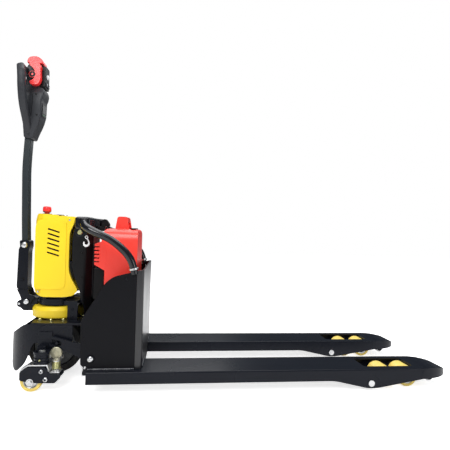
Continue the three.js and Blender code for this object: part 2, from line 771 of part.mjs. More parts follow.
function powerCover() {
  const side = outline([
    [-419, 617, 10],
    [-345, 613, 6],
    [-335, 609, 6],
    [-276, 608, 8],
    [-279, 582, 20],
    [-295, 548, 24],
    [-295, 390, 40],
    [-259, 328, 8],
    [-275, 306, 14],
    [-310, 301, 10],
    [-388, 301, 20],
    [-420, 312, 20],
    [-439, 345, 30],
    [-439, 572, 14],
  ]);
  const inner = outline([
    [-414, 611],
    [-345, 607],
    [-301, 602],
    [-301, 385],
    [-270, 330],
    [-250, 290],
    [-388, 290],
    [-413, 318],
    [-432, 350],
    [-432, 570],
  ]);
  const plan = (r, half, rear) =>
    common(prismXY(aboutSteer(r), 280, 640, 28), block(STEER_X - 200, rear, -half, half, 280, 640));
  const rearPart = (half, rear) => block(STEER_X, rear, -half, half, 280, 640);
  const hull = join(plan(COVER_R, COVER_HALF, STEER_X + 10), rearPart(COVER_HALF, -200));
  const room = join(plan(COVER_R - 5, COVER_HALF - 4, STEER_X + 10), rearPart(COVER_HALF - 4, -200));
  const outer = common(hull, prismXZ(side, -120, 120, 5));
  const hollow = common(room, prismXZ(inner, -120, 120, 3));
  const slots = [0, 1, 2, 3, 4, 5].map((i) =>
    new THREE.BoxGeometry(VENT_LENGTH, 2 * COVER_HALF + 40, 6.4)
      .rotateY((VENT_SLOPE * Math.PI) / 180)
      .translate(-353, 0, VENT_TOP - i * VENT_PITCH));
  const rearGap = block(-310, -230, -60, 60, 320, 590);
  const stopHole = rodZ([-402, 0], 12.5, 600, 640, 20);
  return cut(outer, hollow, rearGap, stopHole, ...slots);
}
add("power_cover", powerCover(), yellowCover);

function hydraulicUnit() {
  const tank = prismXY(outline([[-386, -50], [-298, -58], [-298, 58], [-386, 50]], 20), 291.5, 430);
  const motor = rodZ([-350, 0], 42, 425, 560, 20);
  return join(tank, motor);
}
add("hydraulic_unit", hydraulicUnit(), castGrey);

function liftCylinder() {
  return cut(
    join(rodZ([CYLINDER_X, 0], 20, 291.5, 500), rodZ([CYLINDER_X, 0], 22, 470, 500)),
    rodZ([CYLINDER_X, 0], 13 + RUN, 320, 520),
  );
}
add("lift_cylinder", liftCylinder(), castGrey);

function emergencyStop() {
  return turnedZ([-402, 0], [
    [0, 606],
    [10, 606],
    [10, 626],
    [16, 628],
    [16, 640],
    [13, 646],
    [0, 647],
  ], 20);
}
add("emergency_stop", emergencyStop(), redPlastic);

// ---- Steered drive unit
function steerDrum() {
  return turnedZ([STEER_X, 0], [
    [0, 214],
    [60, 214],
    [60, 222],
    [DRUM_R - 3, 222],
    [DRUM_R, 225],
    [DRUM_R, 252],
    [DRUM_R - 9, 264],
    [30, 264],
    [30, 290],
    [0, 290],
  ], 32);
}
add("drive_unit_drum", steerDrum(), yellowCover);

function gearbox() {
  const shape = outline([
    [STEER_X - 58, 213.6],
    [STEER_X - 52, 90, 30],
    [STEER_X - 20, 58, 24],
    [STEER_X + 20, 58, 24],
    [STEER_X + 52, 90, 30],
    [STEER_X + 58, 213.6],
  ]);
  return join(
    prismXZ(shape, 42, 78),
    rodY([STEER_X, DRIVE_R], 15, -40, 60),
  );
}
add("drive_gearbox", gearbox(), castGrey);

add("drive_wheel_hub", ring([STEER_X, DRIVE_R], 0, 15 + RUN, 78, 30, 3, 28), castGrey);
add("drive_wheel_tyre", ring([STEER_X, DRIVE_R], 0, 79.2, DRIVE_R, 35, 6, 40), blackTyre);

function tillerBase() {
  const shape = outline([
    [-471, 240, 4],
    [-425, 240],
    [-425, 266],
    [-421, 266],
    [-421, 288, 6],
    [-442, 297, 8],
    [-464, 297, 12],
    [-482, 282, 8],
    [-496, 276, 8],
    [-496, 256, 8],
    [-484, 252, 6],
  ]);
  const [px, pz] = TILLER_PIN;
  return cut(
    join(prismXZ(shape, -24, 24), rodY([px, pz], 10, -YOKE_HALF - 5, YOKE_HALF + 5)),
    rodZ([STEER_X, 0], DRUM_R + GAP, 200, 265, 32),
  );
}
add("tiller_base", tillerBase(), blackPaint);

// ---- Tiller
const tubeAt = [
  [-472.5, 0, 425],
  [-476, 0, 511],
  [-479, 0, 590],
  [-481, 0, 670],
  [-483.5, 0, 785],
  [-482, 0, 840],
  [-479, 0, 901],
  [-477, 0, 938],
];

function tubeSection(halfX, halfY, radius) {
  return outline([[-halfX, -halfY], [halfX, -halfY], [halfX, halfY], [-halfX, halfY]], radius);
}

// A constant section with its flats square to Y, along the tiller's line in the XZ plane.
function tillerTube(halfX, halfY, from, to) {
  const line = new THREE.CatmullRomCurve3(tubeAt.map(([x, y, z]) => new THREE.Vector3(x, y, z)));
  const steps = 18;
  const left = [];
  const right = [];
  for (let i = from; i <= to; i++) {
    const at = line.getPointAt(i / steps);
    const along = line.getTangentAt(i / steps);
    left.push([at.x - along.z * halfX, at.z + along.x * halfX]);
    right.push([at.x + along.z * halfX, at.z - along.x * halfX]);
  }
  return prismXZ(outline([...left, ...right.reverse()]), -halfY, halfY);
}
add("tiller_tube", tillerTube(TUBE_HALF_X, TUBE_HALF_Y, 0, 18), blackPaint);

function tillerBracket() {
  const [px, pz] = TILLER_PIN;
  const shape = outline([
    [-457, 512, 8],
    [-494, 512, 8],
    [-491, 488],
    [-496, 478, 8],
    [-500, 332, 8],
    [px - 24, 296, 10],
    [px - 16, pz - 4, 12],
    [px - 6, pz - 16, 12],
    [px + 12, pz - 14, 12],
    [px + 20, pz + 4, 10],
    [px + 29, pz + 12, 6],
    [px + 28, pz + 22, 4],
    [-449, 302, 6],
    [-459, 332, 14],
    [-460, 470, 10],
    [-456, 488],
  ]);
  const lowPart = block(-520, -400, -YOKE_HALF, YOKE_HALF, 200, 322);
  const body = join(
    prismXZ(shape, -BRACKET_HALF, BRACKET_HALF),
    common(prismXZ(shape, -YOKE_HALF, YOKE_HALF), lowPart),
  );
  const yokeSlot = join(
    rodY(TILLER_PIN, 44, -25, 25, 24),
    block(px - 60, px + 60, -25, 25, 230, pz + 10),
  );
  const socket = tillerTube(TUBE_HALF_X + GAP, TUBE_HALF_Y + GAP, 0, 6);
  return cut(body, yokeSlot, socket, rodY(TILLER_PIN, 10 + RUN, -50, 50));
}
add("tiller_bracket", tillerBracket(), blackPaint);

// Head shell: neck and body, with a bore for the throttle shaft.
const THROTTLE = [-458, 1152];
const HEAD_TOP_HALF = 30;    // upper part of the shell, between the throttle wings
const WING_LOW = HEAD_TOP_HALF + 1.5;
const WING_HIGH = HEAD_TOP_HALF + 24;

function headShell() {
  const side = outline([
    [-491, 912, 6],
    [-457, 907, 6],
    [-451, 928, 14],
    [-433, 974, 24],
    [-427, 1004],
    [-426, 1060],
    [-421, 1074, 5],
    [-417, 1091, 5],
    [-421, 1107, 5],
    [-440, 1112, 3],
    [-440, 1200, 5],
    [-484, 1200, 10],
    [-488, 1160],
    [-493, 1050],
    [-494, 965, 30],
  ]);
  const front = outline([
    [-30, 900, 8],
    [30, 900, 8],
    [34, 950, 20],
    [42, 1040, 30],
    [40, 1086, 16],
    [HEAD_TOP_HALF, 1104, 12],
    [HEAD_TOP_HALF, 1204],
    [-HEAD_TOP_HALF, 1204],
    [-HEAD_TOP_HALF, 1104, 12],
    [-40, 1086, 16],
    [-42, 1040, 30],
    [-34, 950, 20],
  ]);
  const frontPrism = new THREE.ExtrudeGeometry(front, { depth: 140, bevelEnabled: false, curveSegments: 4 })
    .rotateX(Math.PI / 2)
    .rotateZ(Math.PI / 2)
    .translate(-530, 0, 0);
  const body = common(prismXZ(side, -60, 60), frontPrism);
  const arm = (side) =>
    swept(
      [
        [-476, side * 16, 930],
        [-477, side * 44, 975],
        [-478, side * 84, 1030],
        [-478, side * 104, 1085],
        [-480, side * 105, 1135],
        [-486, side * 95, 1163],
        [-493, side * 66, 1170],
        [-493, side * 20, 1170],
      ],
      tubeSection(14, 14, 9),
      14,
    );
  const tubeRoom = tillerTube(TUBE_HALF_X + GAP, TUBE_HALF_Y + GAP, 14, 18);
  const hornWell = block(-445.5, -400, -20, 20, 1158, 1190);
  const liftWells = [3, -23].map((y) => block(-445.5, -400, y, y + 20, 1114, 1137));
  return cut(
    join(body, arm(1), arm(-1)),
    tubeRoom,
    hornWell,
    ...liftWells,
    rodY(THROTTLE, 6 + RUN, -60, 60, 12),
  );
}
add("head_shell", headShell(), greyPlastic);

function bellyButton() {
  const shape = outline([
    [-485, 1204, 4],
    [-438, 1204, 4],
    [-431, 1209, 5],
    [-434, 1220, 10],
    [-457, 1235, 18],
    [-484, 1224, 12],
  ]);
  return prismXZ(shape, -HEAD_TOP_HALF, HEAD_TOP_HALF);
}
add("reverse_button", bellyButton(), redPlastic);

function throttle() {
  const wing = outline([
    [-470, 1202, 8],
    [-440, 1202, 10],
    [-428, 1190, 14],
    [-430, 1165, 20],
    [-427, 1135, 16],
    [-438, 1112, 14],
    [-466, 1114, 10],
    [-468, 1126, 5],
    [-452, 1134, 12],
    [-446, 1152, 10],
    [-452, 1174, 12],
    [-470, 1188, 6],
  ]);
  const knob = join(
    prismXZ(wing, WING_LOW, WING_HIGH, 3),
    rodY(THROTTLE, 13, WING_LOW, WING_HIGH - 4, 16),
  );
  const otherKnob = knob.clone().translate(0, -WING_LOW - WING_HIGH, 0);
  return join(knob, otherKnob, rodY(THROTTLE, 6, -40, 40, 12));
}
add("throttle_butterfly", throttle(), redPlastic);

add("horn_button", prismXZ(
  outline([[-441.5, 1160], [-430, 1161, 4], [-430, 1187, 4], [-441.5, 1188]]), -18, 18,
), whitePlastic);

for (const [name, y] of [["raise_button", 13], ["lower_button", -13]]) {
  add(name, prismXZ(
    outline([[-442, 1116], [-431, 1117, 3], [-431, 1134, 3], [-442, 1135]]), y - 8, y + 8,
  ), whitePlastic);
}

export default jack;
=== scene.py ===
# Electric pallet jack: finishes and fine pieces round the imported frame, a pale studio and a camera.
# Lengths are in metres once at() or MM has been applied. The numbers in the piece tables are millimetres.
import json
import math

import bmesh
import bpy
from mathutils import Matrix, Vector
from mathutils.geometry import tessellate_polygon


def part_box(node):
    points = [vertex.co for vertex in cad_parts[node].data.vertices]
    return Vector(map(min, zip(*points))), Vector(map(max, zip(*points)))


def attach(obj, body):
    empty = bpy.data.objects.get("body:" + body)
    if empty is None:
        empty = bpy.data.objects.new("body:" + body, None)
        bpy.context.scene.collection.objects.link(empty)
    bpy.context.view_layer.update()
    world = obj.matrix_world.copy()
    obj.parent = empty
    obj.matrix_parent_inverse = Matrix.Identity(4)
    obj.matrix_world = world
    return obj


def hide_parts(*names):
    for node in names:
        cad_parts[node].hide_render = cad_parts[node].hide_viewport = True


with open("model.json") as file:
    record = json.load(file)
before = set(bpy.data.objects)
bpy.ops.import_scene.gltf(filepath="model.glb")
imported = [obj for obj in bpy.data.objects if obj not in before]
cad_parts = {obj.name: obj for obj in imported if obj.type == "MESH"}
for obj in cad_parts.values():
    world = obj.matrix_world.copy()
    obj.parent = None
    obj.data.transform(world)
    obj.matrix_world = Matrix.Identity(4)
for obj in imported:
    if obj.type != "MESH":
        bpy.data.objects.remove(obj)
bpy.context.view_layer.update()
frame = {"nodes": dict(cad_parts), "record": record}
NODES = frame["nodes"]
MM = 0.001
SIDES = (("left", 1), ("right", -1))
LOAD_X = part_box("load_face_plate")[1].x
FORK_LOW, FORK_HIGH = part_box("fork_left")
FORK_Y = (FORK_LOW.y + FORK_HIGH.y) / 2 / MM
HEAD_HALF = 30  # upper part of the tiller head, between the throttle wings
STEER_X = -345
TILLER_PIN = (-458, 276)
CASTOR_AXLE_X = -373
CASTOR_Y = 217
SPRING_X = -294
STOP_X = -402
ROCKER_PIN = (-174, 116)
ARM_PIN = (828, 28)
SHARP = 35  # degrees; sharper edges stay crisp in shading


def at(x, y, z):
    """A point given in millimetres from the load face, the middle and the floor."""
    return Vector((LOAD_X + x * MM, y * MM, z * MM))


# ---- Camera
def make_camera():
    data = bpy.data.cameras.new("camera")
    data.sensor_width = 36
    data.lens = 34.33
    camera = bpy.data.objects.new("camera", data)
    bpy.context.scene.collection.objects.link(camera)
    turn = Matrix.Rotation(math.radians(-6.9), 4, "Z")
    tip = Matrix.Rotation(math.radians(90.856), 4, "X")
    roll = Matrix.Rotation(math.radians(1.52), 4, "Z")
    camera.matrix_world = Matrix.Translation(at(95.1, -1773.7, 566.8)) @ turn @ tip @ roll
    bpy.context.scene.camera = camera


make_camera()


# ---- Materials
class Nodes:
    """A short way to wire a node tree."""

    def __init__(self, name):
        self.material = bpy.data.materials.new(name)
        self.material.use_nodes = True
        self.tree = self.material.node_tree
        self.shader = self.tree.nodes["Principled BSDF"]
        self.place = self.new("ShaderNodeTexCoord").outputs["Object"]

    def new(self, kind, **settings):
        node = self.tree.nodes.new(kind)
        for key, value in settings.items():
            if key.startswith("in_"):
                node.inputs[key[3:].replace("_", " ")].default_value = value
            else:
                setattr(node, key, value)
        return node

    def link(self, source, target):
        self.tree.links.new(source, target)

    def noise(self, scale, detail=4.0, roughness=0.55, stretch=None):
        node = self.new("ShaderNodeTexNoise", in_Scale=scale, in_Detail=detail, in_Roughness=roughness)
        place = self.place
        if stretch:
            mapping = self.new("ShaderNodeMapping", in_Scale=stretch)
            self.link(place, mapping.inputs["Vector"])
            place = mapping.outputs["Vector"]
        self.link(place, node.inputs["Vector"])
        return node.outputs["Fac"]

    def ramp(self, source, low, high, start=0.35, end=0.65):
        node = self.new("ShaderNodeMapRange")
        for name, value in (("From Min", start), ("From Max", end), ("To Min", low), ("To Max", high)):
            node.inputs[name].default_value = value
        self.link(source, node.inputs["Value"])
        return node.outputs["Result"]

    def mix(self, amount, a, b):
        node = self.new("ShaderNodeMix", data_type="RGBA")
        sockets = [s for s in node.inputs if s.enabled]
        for socket, value in zip(sockets, (amount, a, b)):
            if isinstance(value, bpy.types.NodeSocket):
                self.link(value, socket)
            elif isinstance(value, (int, float)):
                socket.default_value = value
            else:
                socket.default_value = (*value, 1)
        return [s for s in node.outputs if s.enabled][0]

    def bumps(self, *layers):
        """Each layer is (height, strength, distance in metres)."""
        normal = None
        for height, strength, distance in layers:
            node = self.new("ShaderNodeBump", in_Strength=strength, in_Distance=distance)
            self.link(height, node.inputs["Height"])
            if normal:
                self.link(normal, node.inputs["Normal"])
            normal = node.outputs["Normal"]
        self.link(normal, self.shader.inputs["Normal"])

    def set(self, **values):
        for name, value in values.items():
            self.shader.inputs[name.replace("_", " ")].default_value = value


def shade(color, factor):
    return tuple(c * factor for c in color)


def painted(name, color, rough, coat=0.1, grain=900, lumps=0.04, gloss=0.3):
    """Sprayed paint: faint orange peel and slow changes of tone and sheen."""
    n = Nodes(name)
    tone = n.mix(n.ramp(n.noise(6), 0, 1), shade(color, 0.94), shade(color, 1.06))
    n.link(tone, n.shader.inputs["Base Color"])
    n.link(n.ramp(n.noise(4, 3), rough - 0.02, rough + 0.05), n.shader.inputs["Roughness"])
    n.bumps((n.noise(grain, 2), lumps, 0.0002), (n.noise(60, 2), lumps, 0.0004))
    n.set(Specular_IOR_Level=gloss, Coat_Weight=coat, Coat_Roughness=0.15)
    return n.material


def moulded(name, color, rough, grain=1800, depth=0.08, speck=0.03, coat=0.0, gloss=0.4):
    """Moulded plastic with a fine spark-eroded grain and flow marks."""
    n = Nodes(name)
    fine = n.noise(grain, 3)
    tone = n.mix(n.ramp(fine, 0, 1), shade(color, 1 - speck), shade(color, 1 + speck))
    flow = n.ramp(n.noise(5, stretch=(1, 1, 0.3)), 0, 0.3)
    tone = n.mix(flow, tone, shade(color, 0.9))
    n.link(tone, n.shader.inputs["Base Color"])
    n.link(n.ramp(n.noise(30), rough - 0.04, rough + 0.06), n.shader.inputs["Roughness"])
    n.bumps((fine, depth, 0.0002), (n.noise(18, 2), 0.05, 0.001))
    n.set(Specular_IOR_Level=gloss, Coat_Weight=coat, Coat_Roughness=0.2)
    return n.material


def metal(name, color, rough, stretch=(1, 1, 1), tint=None, bloom=0.6):
    """Plated or machined steel with directional scratches and a slight bloom."""
    n = Nodes(name)
    tone = n.mix(n.ramp(n.noise(45, 5), 0, bloom), color, tint or shade(color, 0.8))
    n.link(tone, n.shader.inputs["Base Color"])
    lines = n.noise(420, 3, stretch=stretch)
    n.link(n.ramp(lines, rough - 0.08, rough + 0.12), n.shader.inputs["Roughness"])
    n.bumps((lines, 0.1, 0.0002))
    n.set(Metallic=1.0)
    return n.material


def cast(name, color, rough):
    """Sand casting under thin paint."""
    n = Nodes(name)
    tone = n.mix(n.ramp(n.noise(30), 0, 1), shade(color, 0.8), shade(color, 1.2))
    n.link(tone, n.shader.inputs["Base Color"])
    n.link(n.ramp(n.noise(60), rough - 0.1, rough + 0.1), n.shader.inputs["Roughness"])
    n.bumps((n.noise(420, 5), 0.5, 0.0008), (n.noise(60, 3), 0.3, 0.001))
    n.set(Metallic=0.35)
    return n.material


def rubber(name, color, rough, dirt, glow=0.1):
    """Wheel tread, scuffed and dusty where it runs."""
    n = Nodes(name)
    tone = n.mix(n.ramp(n.noise(14), 0, 1), shade(color, 0.95), shade(color, 1.04))
    tone = n.mix(n.ramp(n.noise(70, 8), 0, 0.4, 0.55, 0.8), tone, dirt)
    n.link(tone, n.shader.inputs["Base Color"])
    n.link(n.ramp(n.noise(80), rough - 0.08, rough + 0.12), n.shader.inputs["Roughness"])
    n.bumps((n.noise(300, 4), 0.15, 0.0004))
    n.set(Subsurface_Weight=glow, Subsurface_Radius=(0.004, 0.003, 0.001))
    return n.material


# Black paint. The blue cast in its colour is a painted reflection of the bluish top light on the fork tops;
# the dark tone is the paint's own.
BLACK_PAINT = painted("black_paint", (0.0072, 0.0085, 0.013), 0.26, coat=0.0, gloss=0.16)
PLATE_BLACK = painted("plate_black", (0.0042, 0.0043, 0.006), 0.42, coat=0.0, gloss=0.13)
GLOSS_BLACK = painted("gloss_black", (0.008, 0.0085, 0.011), 0.2, coat=0.4)
FACE_BLACK = painted("face_black", (0.011, 0.011, 0.013), 0.3, coat=0.3, gloss=0.5)
BLACK_PLASTIC = moulded("black_plastic", (0.0038, 0.0038, 0.0044), 0.38, gloss=0.22)
GREY_PLASTIC = moulded("grey_plastic", (0.027, 0.029, 0.034), 0.45, gloss=0.3)
TUBE_GREY = painted("tube_grey", (0.021, 0.028, 0.032), 0.3, coat=0.15)
YELLOW = moulded("yellow_cover", (0.98, 0.69, 0.012), 0.4, grain=700, depth=0.03, speck=0.01, coat=0.1)
DRUM_YELLOW = moulded("drum_yellow", (0.98, 0.72, 0.03), 0.4, grain=700, depth=0.03, speck=0.01, coat=0.1)
RED = moulded("red_plastic", (0.93, 0.035, 0.036), 0.33, coat=0.2)
BATTERY_RED = moulded("battery_red", (0.98, 0.052, 0.034), 0.34, coat=0.3)
TYRE = rubber("yellow_tyre", (0.86, 0.66, 0.16), 0.38, (0.45, 0.36, 0.14))
BLACK_TYRE = rubber("black_tyre", (0.018, 0.018, 0.019), 0.6, (0.07, 0.065, 0.06), glow=0.0)
ZINC = metal("zinc", (0.72, 0.73, 0.75), 0.3, tint=(0.6, 0.6, 0.58))
CHROMATE = metal("chromate", (0.72, 0.66, 0.34), 0.34, tint=(0.55, 0.62, 0.3))
DULL_CHROMATE = metal("dull_chromate", (0.6, 0.56, 0.4), 0.5, tint=(0.5, 0.5, 0.38))
CAST = cast("cast_grey", (0.1, 0.105, 0.11), 0.55)
CHROME = metal("chrome", (0.8, 0.8, 0.82), 0.12, stretch=(1, 1, 0.05))
WHITE = moulded("white_plastic", (0.78, 0.79, 0.81), 0.4)
DECAL = painted("decal_white", (0.86, 0.86, 0.86), 0.45, lumps=0.02)
BEAD = painted("weld_paint", (0.016, 0.018, 0.026), 0.2, coat=0.5, gloss=0.6)
SCREEN = moulded("screen_glass", (0.006, 0.008, 0.01), 0.3, depth=0.0, gloss=0.3)
LAMP = moulded("lamp_green", (0.02, 0.12, 0.05), 0.35)
SLOT_MATERIALS = {
    "black_paint": BLACK_PAINT,
    "black_plastic": BLACK_PLASTIC,
    "grey_plastic": GREY_PLASTIC,
    "yellow_cover": YELLOW,
    "red_plastic": RED,
    "yellow_tyre": TYRE,
    "black_tyre": BLACK_TYRE,
    "zinc": ZINC,
    "cast_grey": CAST,
    "chrome": CHROME,
    "white_plastic": WHITE,
}
OWN_MATERIALS = {
    "battery_case": BATTERY_RED,
    "side_plate_left": PLATE_BLACK, "side_plate_right": PLATE_BLACK,
    "crosshead_left": GLOSS_BLACK, "crosshead_right": GLOSS_BLACK,
    "guard_tube_left": GLOSS_BLACK, "guard_tube_right": GLOSS_BLACK,
    "load_face_plate": FACE_BLACK,
    "tiller_tube": TUBE_GREY,
    "drive_unit_drum": DRUM_YELLOW,
}

# Edge rounding in millimetres, 1 where a node isn't named. The cover's walls are too thin to bevel.
BEVELS = {
    "throttle_butterfly": 4.5,
    "fork_left": 1.5, "fork_right": 1.5, "power_cover": 0, "mast_housing": 4.0, "battery_case": 3.0,
    "crosshead_left": 6.0, "crosshead_right": 6.0, "tiller_tube": 2.5, "tiller_bracket": 2.0,
    "drive_unit_drum": 3.0,
}


# ---- Finish of the carried-over CAD nodes
def soften(obj, bevel, segments=3):
    """Rounds the edges of an object with modifiers, and leaves its mesh as it is."""
    weld = obj.modifiers.new("weld", "WELD")
    weld.merge_threshold = 2e-5
    flat = obj.modifiers.new("flat", "DECIMATE")
    flat.decimate_type = "DISSOLVE"
    flat.angle_limit = math.radians(0.6)
    soft = obj.modifiers.new("soft", "BEVEL")
    soft.width = bevel * MM
    soft.segments = segments
    soft.limit_method = "ANGLE"
    soft.angle_limit = math.radians(32)
    soft.miter_outer = "MITER_ARC"
    even = obj.modifiers.new("even", "WEIGHTED_NORMAL")
    even.keep_sharp = True


def dress(name, material, bevel):
    node = NODES[name]
    node.data.materials.clear()
    node.data.materials.append(material)
    if "custom_normal" in node.data.attributes:
        node.data.attributes.remove(node.data.attributes["custom_normal"])
    node.data.shade_smooth()
    if bevel:
        soften(node, bevel)
    else:
        node.data.set_sharp_from_angle(angle=math.radians(SHARP))


for entry in frame["record"]["subparts"]:
    part = entry["node"]
    dress(part, OWN_MATERIALS.get(part, SLOT_MATERIALS[entry["material_slot"]]), BEVELS.get(part, 1.0))


# ---- Making pieces
def piece(name, mesh, body, material, sharp=SHARP):
    """Puts a finished mesh, already in row metres, on its body."""
    obj = bpy.data.objects.new(name, mesh)
    bpy.context.scene.collection.objects.link(obj)
    mesh.materials.clear()
    mesh.materials.append(material)
    mesh.shade_smooth()
    mesh.set_sharp_from_angle(angle=math.radians(sharp))
    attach(obj, body)
    return obj


def finished(name, bm):
    bmesh.ops.remove_doubles(bm, verts=bm.verts, dist=1e-6)
    bmesh.ops.recalc_face_normals(bm, faces=bm.faces)
    mesh = bpy.data.meshes.new(name)
    bm.to_mesh(mesh)
    bm.free()
    return mesh


def facing(place, axis):
    """A matrix that carries local +Z to axis and the origin to place."""
    turn = Vector(axis).to_track_quat("Z", "Y").to_matrix().to_4x4()
    return Matrix.Translation(place) @ turn


def add_turned(bm, profile, matrix, segments=32):
    """Adds a turned body. The profile is (radius, height) in mm and closes on itself or on the axis."""
    rings = []
    for radius, height in profile:
        if radius == 0:
            rings.append([bm.verts.new(matrix @ Vector((0, 0, height * MM)))])
            continue
        angles = [2 * math.pi * i / segments for i in range(segments)]
        reach = radius * MM
        corners = [Vector((reach * math.cos(a), reach * math.sin(a), height * MM)) for a in angles]
        rings.append([bm.verts.new(matrix @ c) for c in corners])
    closed = profile[0][0] != 0 or profile[-1][0] != 0
    pairs = list(zip(rings, rings[1:])) + ([(rings[-1], rings[0])] if closed else [])
    for a, b in pairs:
        for i in range(segments):
            j = (i + 1) % segments
            corners = [a[i % len(a)], a[j % len(a)], b[j % len(b)], b[i % len(b)]]
            unique = list(dict.fromkeys(corners))
            if len(unique) > 2:
                bm.faces.new(unique)


def turned(name, parts, place, axis, body, material, sharp=SHARP):
    """A piece of one or more turned bodies on one axis. Each part is (profile, segments)."""
    bm = bmesh.new()
    matrix = facing(place, axis)
    for profile, segments in parts:
        add_turned(bm, profile, matrix, segments)
    return piece(name, finished(name, bm), body, material, sharp)


def hex_bolt(radius, height):
    washer = [(0, 0), (radius * 1.35, 0), (radius * 1.35, 1.2), (0, 1.2)]
    head = [(0, 1.2), (radius, 1.2), (radius, height * 0.8), (radius * 0.86, height), (0, height)]
    return [(washer, 28), (head, 6)]


def dome_bolt(radius, height):
    """A button head with a hexagon socket."""
    dome = [(0, height * 0.35), (radius * 0.42, height * 0.35), (radius * 0.46, height * 0.97)]
    dome += [(radius * 0.7, height * 0.85), (radius * 0.9, height * 0.55), (radius, 0.4), (radius, 0),
             (0, 0)]
    return [(dome, 30)]


def pin_end(radius, height):
    """A turned pin end with a chamfer and a centre dimple."""
    end = [(0, height - 1.5), (radius * 0.2, height - 0.4), (radius * 0.3, height), (radius * 0.82, height)]
    return [(end + [(radius, height * 0.6), (radius, 0), (0, 0)], 30)]


def rounded(corners, steps=5):
    """Corners are (u, v) or (u, v, radius); returns the rounded outline."""
    points = []
    count = len(corners)
    for i, corner in enumerate(corners):
        here = Vector(corner[:2])
        radius = corner[2] if len(corner) > 2 else 0
        before = Vector(corners[i - 1][:2]) - here
        after = Vector(corners[(i + 1) % count][:2]) - here
        reach = min(radius, before.length * 0.49, after.length * 0.49)
        if reach == 0:
            points.append(here)
            continue
        start = here + before.normalized() * reach
        end = here + after.normalized() * reach
        for k in range(steps + 1):
            t = k / steps
            points.append(start * (1 - t) ** 2 + here * 2 * t * (1 - t) + end * t ** 2)
    return points


def add_plate(bm, outline, low, high, matrix, holes=()):
    """Adds a flat plate with holes. Outline and holes are lists of 2-D points in millimetres."""
    loops = [list(outline)] + [list(h) for h in holes]
    flat = [p for loop in loops for p in loop]
    filled = tessellate_polygon([[Vector((p[0], p[1], 0)) for p in loop] for loop in loops])
    layers = []
    for height in (low, high):
        layers.append([bm.verts.new(matrix @ Vector((p[0] * MM, p[1] * MM, height * MM))) for p in flat])
    for triangle in filled:
        bm.faces.new([layers[0][i] for i in triangle])
        bm.faces.new([layers[1][i] for i in reversed(triangle)])
    first = 0
    for loop in loops:
        for i in range(len(loop)):
            a, b = first + i, first + (i + 1) % len(loop)
            bm.faces.new([layers[0][a], layers[0][b], layers[1][b], layers[1][a]])
        first += len(loop)


# Local u, v and height of a plate carried to the row's axes.
def on_xz(y, sign):
    """u is X and v is Z; height points away from the middle plane."""
    origin = at(0, sign * y, 0)
    return Matrix.Translation(origin) @ Matrix(((1, 0, 0, 0), (0, 0, sign, 0), (0, 1, 0, 0), (0, 0, 0, 1)))


def on_xy(z):
    return Matrix.Translation(at(0, 0, z))


def on_yz(x, sign):
    """u is Y and v is Z; height points along X times sign."""
    origin = at(x, 0, 0)
    return Matrix.Translation(origin) @ Matrix(((0, 0, sign, 0), (1, 0, 0, 0), (0, 1, 0, 0), (0, 0, 0, 1)))


def plate(name, outline, low, high, matrix, body, material, holes=(), bevel=0.5):
    bm = bmesh.new()
    add_plate(bm, outline, low, high, matrix, holes)
    obj = piece(name, finished(name, bm), body, material)
    if bevel:
        soften(obj, bevel, 2)
    return obj


def along(points, count):
    """Evenly spread points on a smooth curve through the given ones, in metres."""
    fine = []
    padded = [points[0] * 2 - points[1], *points, points[-1] * 2 - points[-2]]
    for a, b, c, d in zip(padded, padded[1:], padded[2:], padded[3:]):
        for k in range(20):
            t = k / 20
            fine.append(0.5 * ((2 * b) + (c - a) * t + (2 * a - 5 * b + 4 * c - d) * t * t
                               + (3 * b - a - 3 * c + d) * t ** 3))
    fine.append(points[-1])
    lengths = [0.0]
    for p, q in zip(fine, fine[1:]):
        lengths.append(lengths[-1] + (q - p).length)
    picked = []
    k = 0
    for i in range(count):
        goal = lengths[-1] * i / (count - 1)
        while k < len(fine) - 2 and lengths[k + 1] < goal:
            k += 1
        span = max(lengths[k + 1] - lengths[k], 1e-9)
        picked.append(fine[k].lerp(fine[k + 1], min(1, (goal - lengths[k]) / span)))
    return picked


def add_tube(bm, centres, radius, sides=10, flat=1.0, up=Vector((0, 0, 1)), swell=None):
    """Adds a capped tube. flat squeezes it along up, and swell gives a radius factor for each ring."""
    rings = []
    for i, centre in enumerate(centres):
        ahead = centres[min(i + 1, len(centres) - 1)]
        behind = centres[max(i - 1, 0)]
        direction = (ahead - behind).normalized()
        side = direction.cross(up)
        side = side.normalized() if side.length > 1e-3 else direction.cross(Vector((1, 0, 0))).normalized()
        rise = side.cross(direction).normalized()
        reach = radius * MM * (swell(i) if swell else 1)
        ring = []
        for k in range(sides):
            angle = 2 * math.pi * k / sides
            across = side * reach * math.cos(angle)
            ring.append(bm.verts.new(centre + across + rise * reach * flat * math.sin(angle)))
        rings.append(ring)
    for a, b in zip(rings, rings[1:]):
        for k in range(sides):
            j = (k + 1) % sides
            bm.faces.new([a[k], a[j], b[j], b[k]])
    bm.faces.new(rings[0])
    bm.faces.new(rings[-1])


def tube(name, points, radius, body, material, slot, count=40, **shape):
    bm = bmesh.new()
    add_tube(bm, along([at(*p) for p in points], count), radius, **shape)
    return piece(name, finished(name, bm), body, material)


def weld_bead(name, start, end, radius, body):
    """A bead whose ripples are the stacked pools of the weld."""
    count = max(8, int((Vector(end) - Vector(start)).length / 2.2))
    bm = bmesh.new()
    centres = [at(*Vector(start).lerp(Vector(end), i / (count - 1))) for i in range(count)]
    add_tube(bm, centres, radius, 8, swell=lambda i: 0.86 + 0.14 * (i % 3) / 2 + 0.08 * math.sin(i * 1.7))
    return piece(name, finished(name, bm), body, BEAD, 80)


# ---- Fork frame
def box_outline(u0, v0, u1, v1, radius=0):
    return rounded([(u0, v0, radius), (u1, v0, radius), (u1, v1, radius), (u0, v1, radius)])


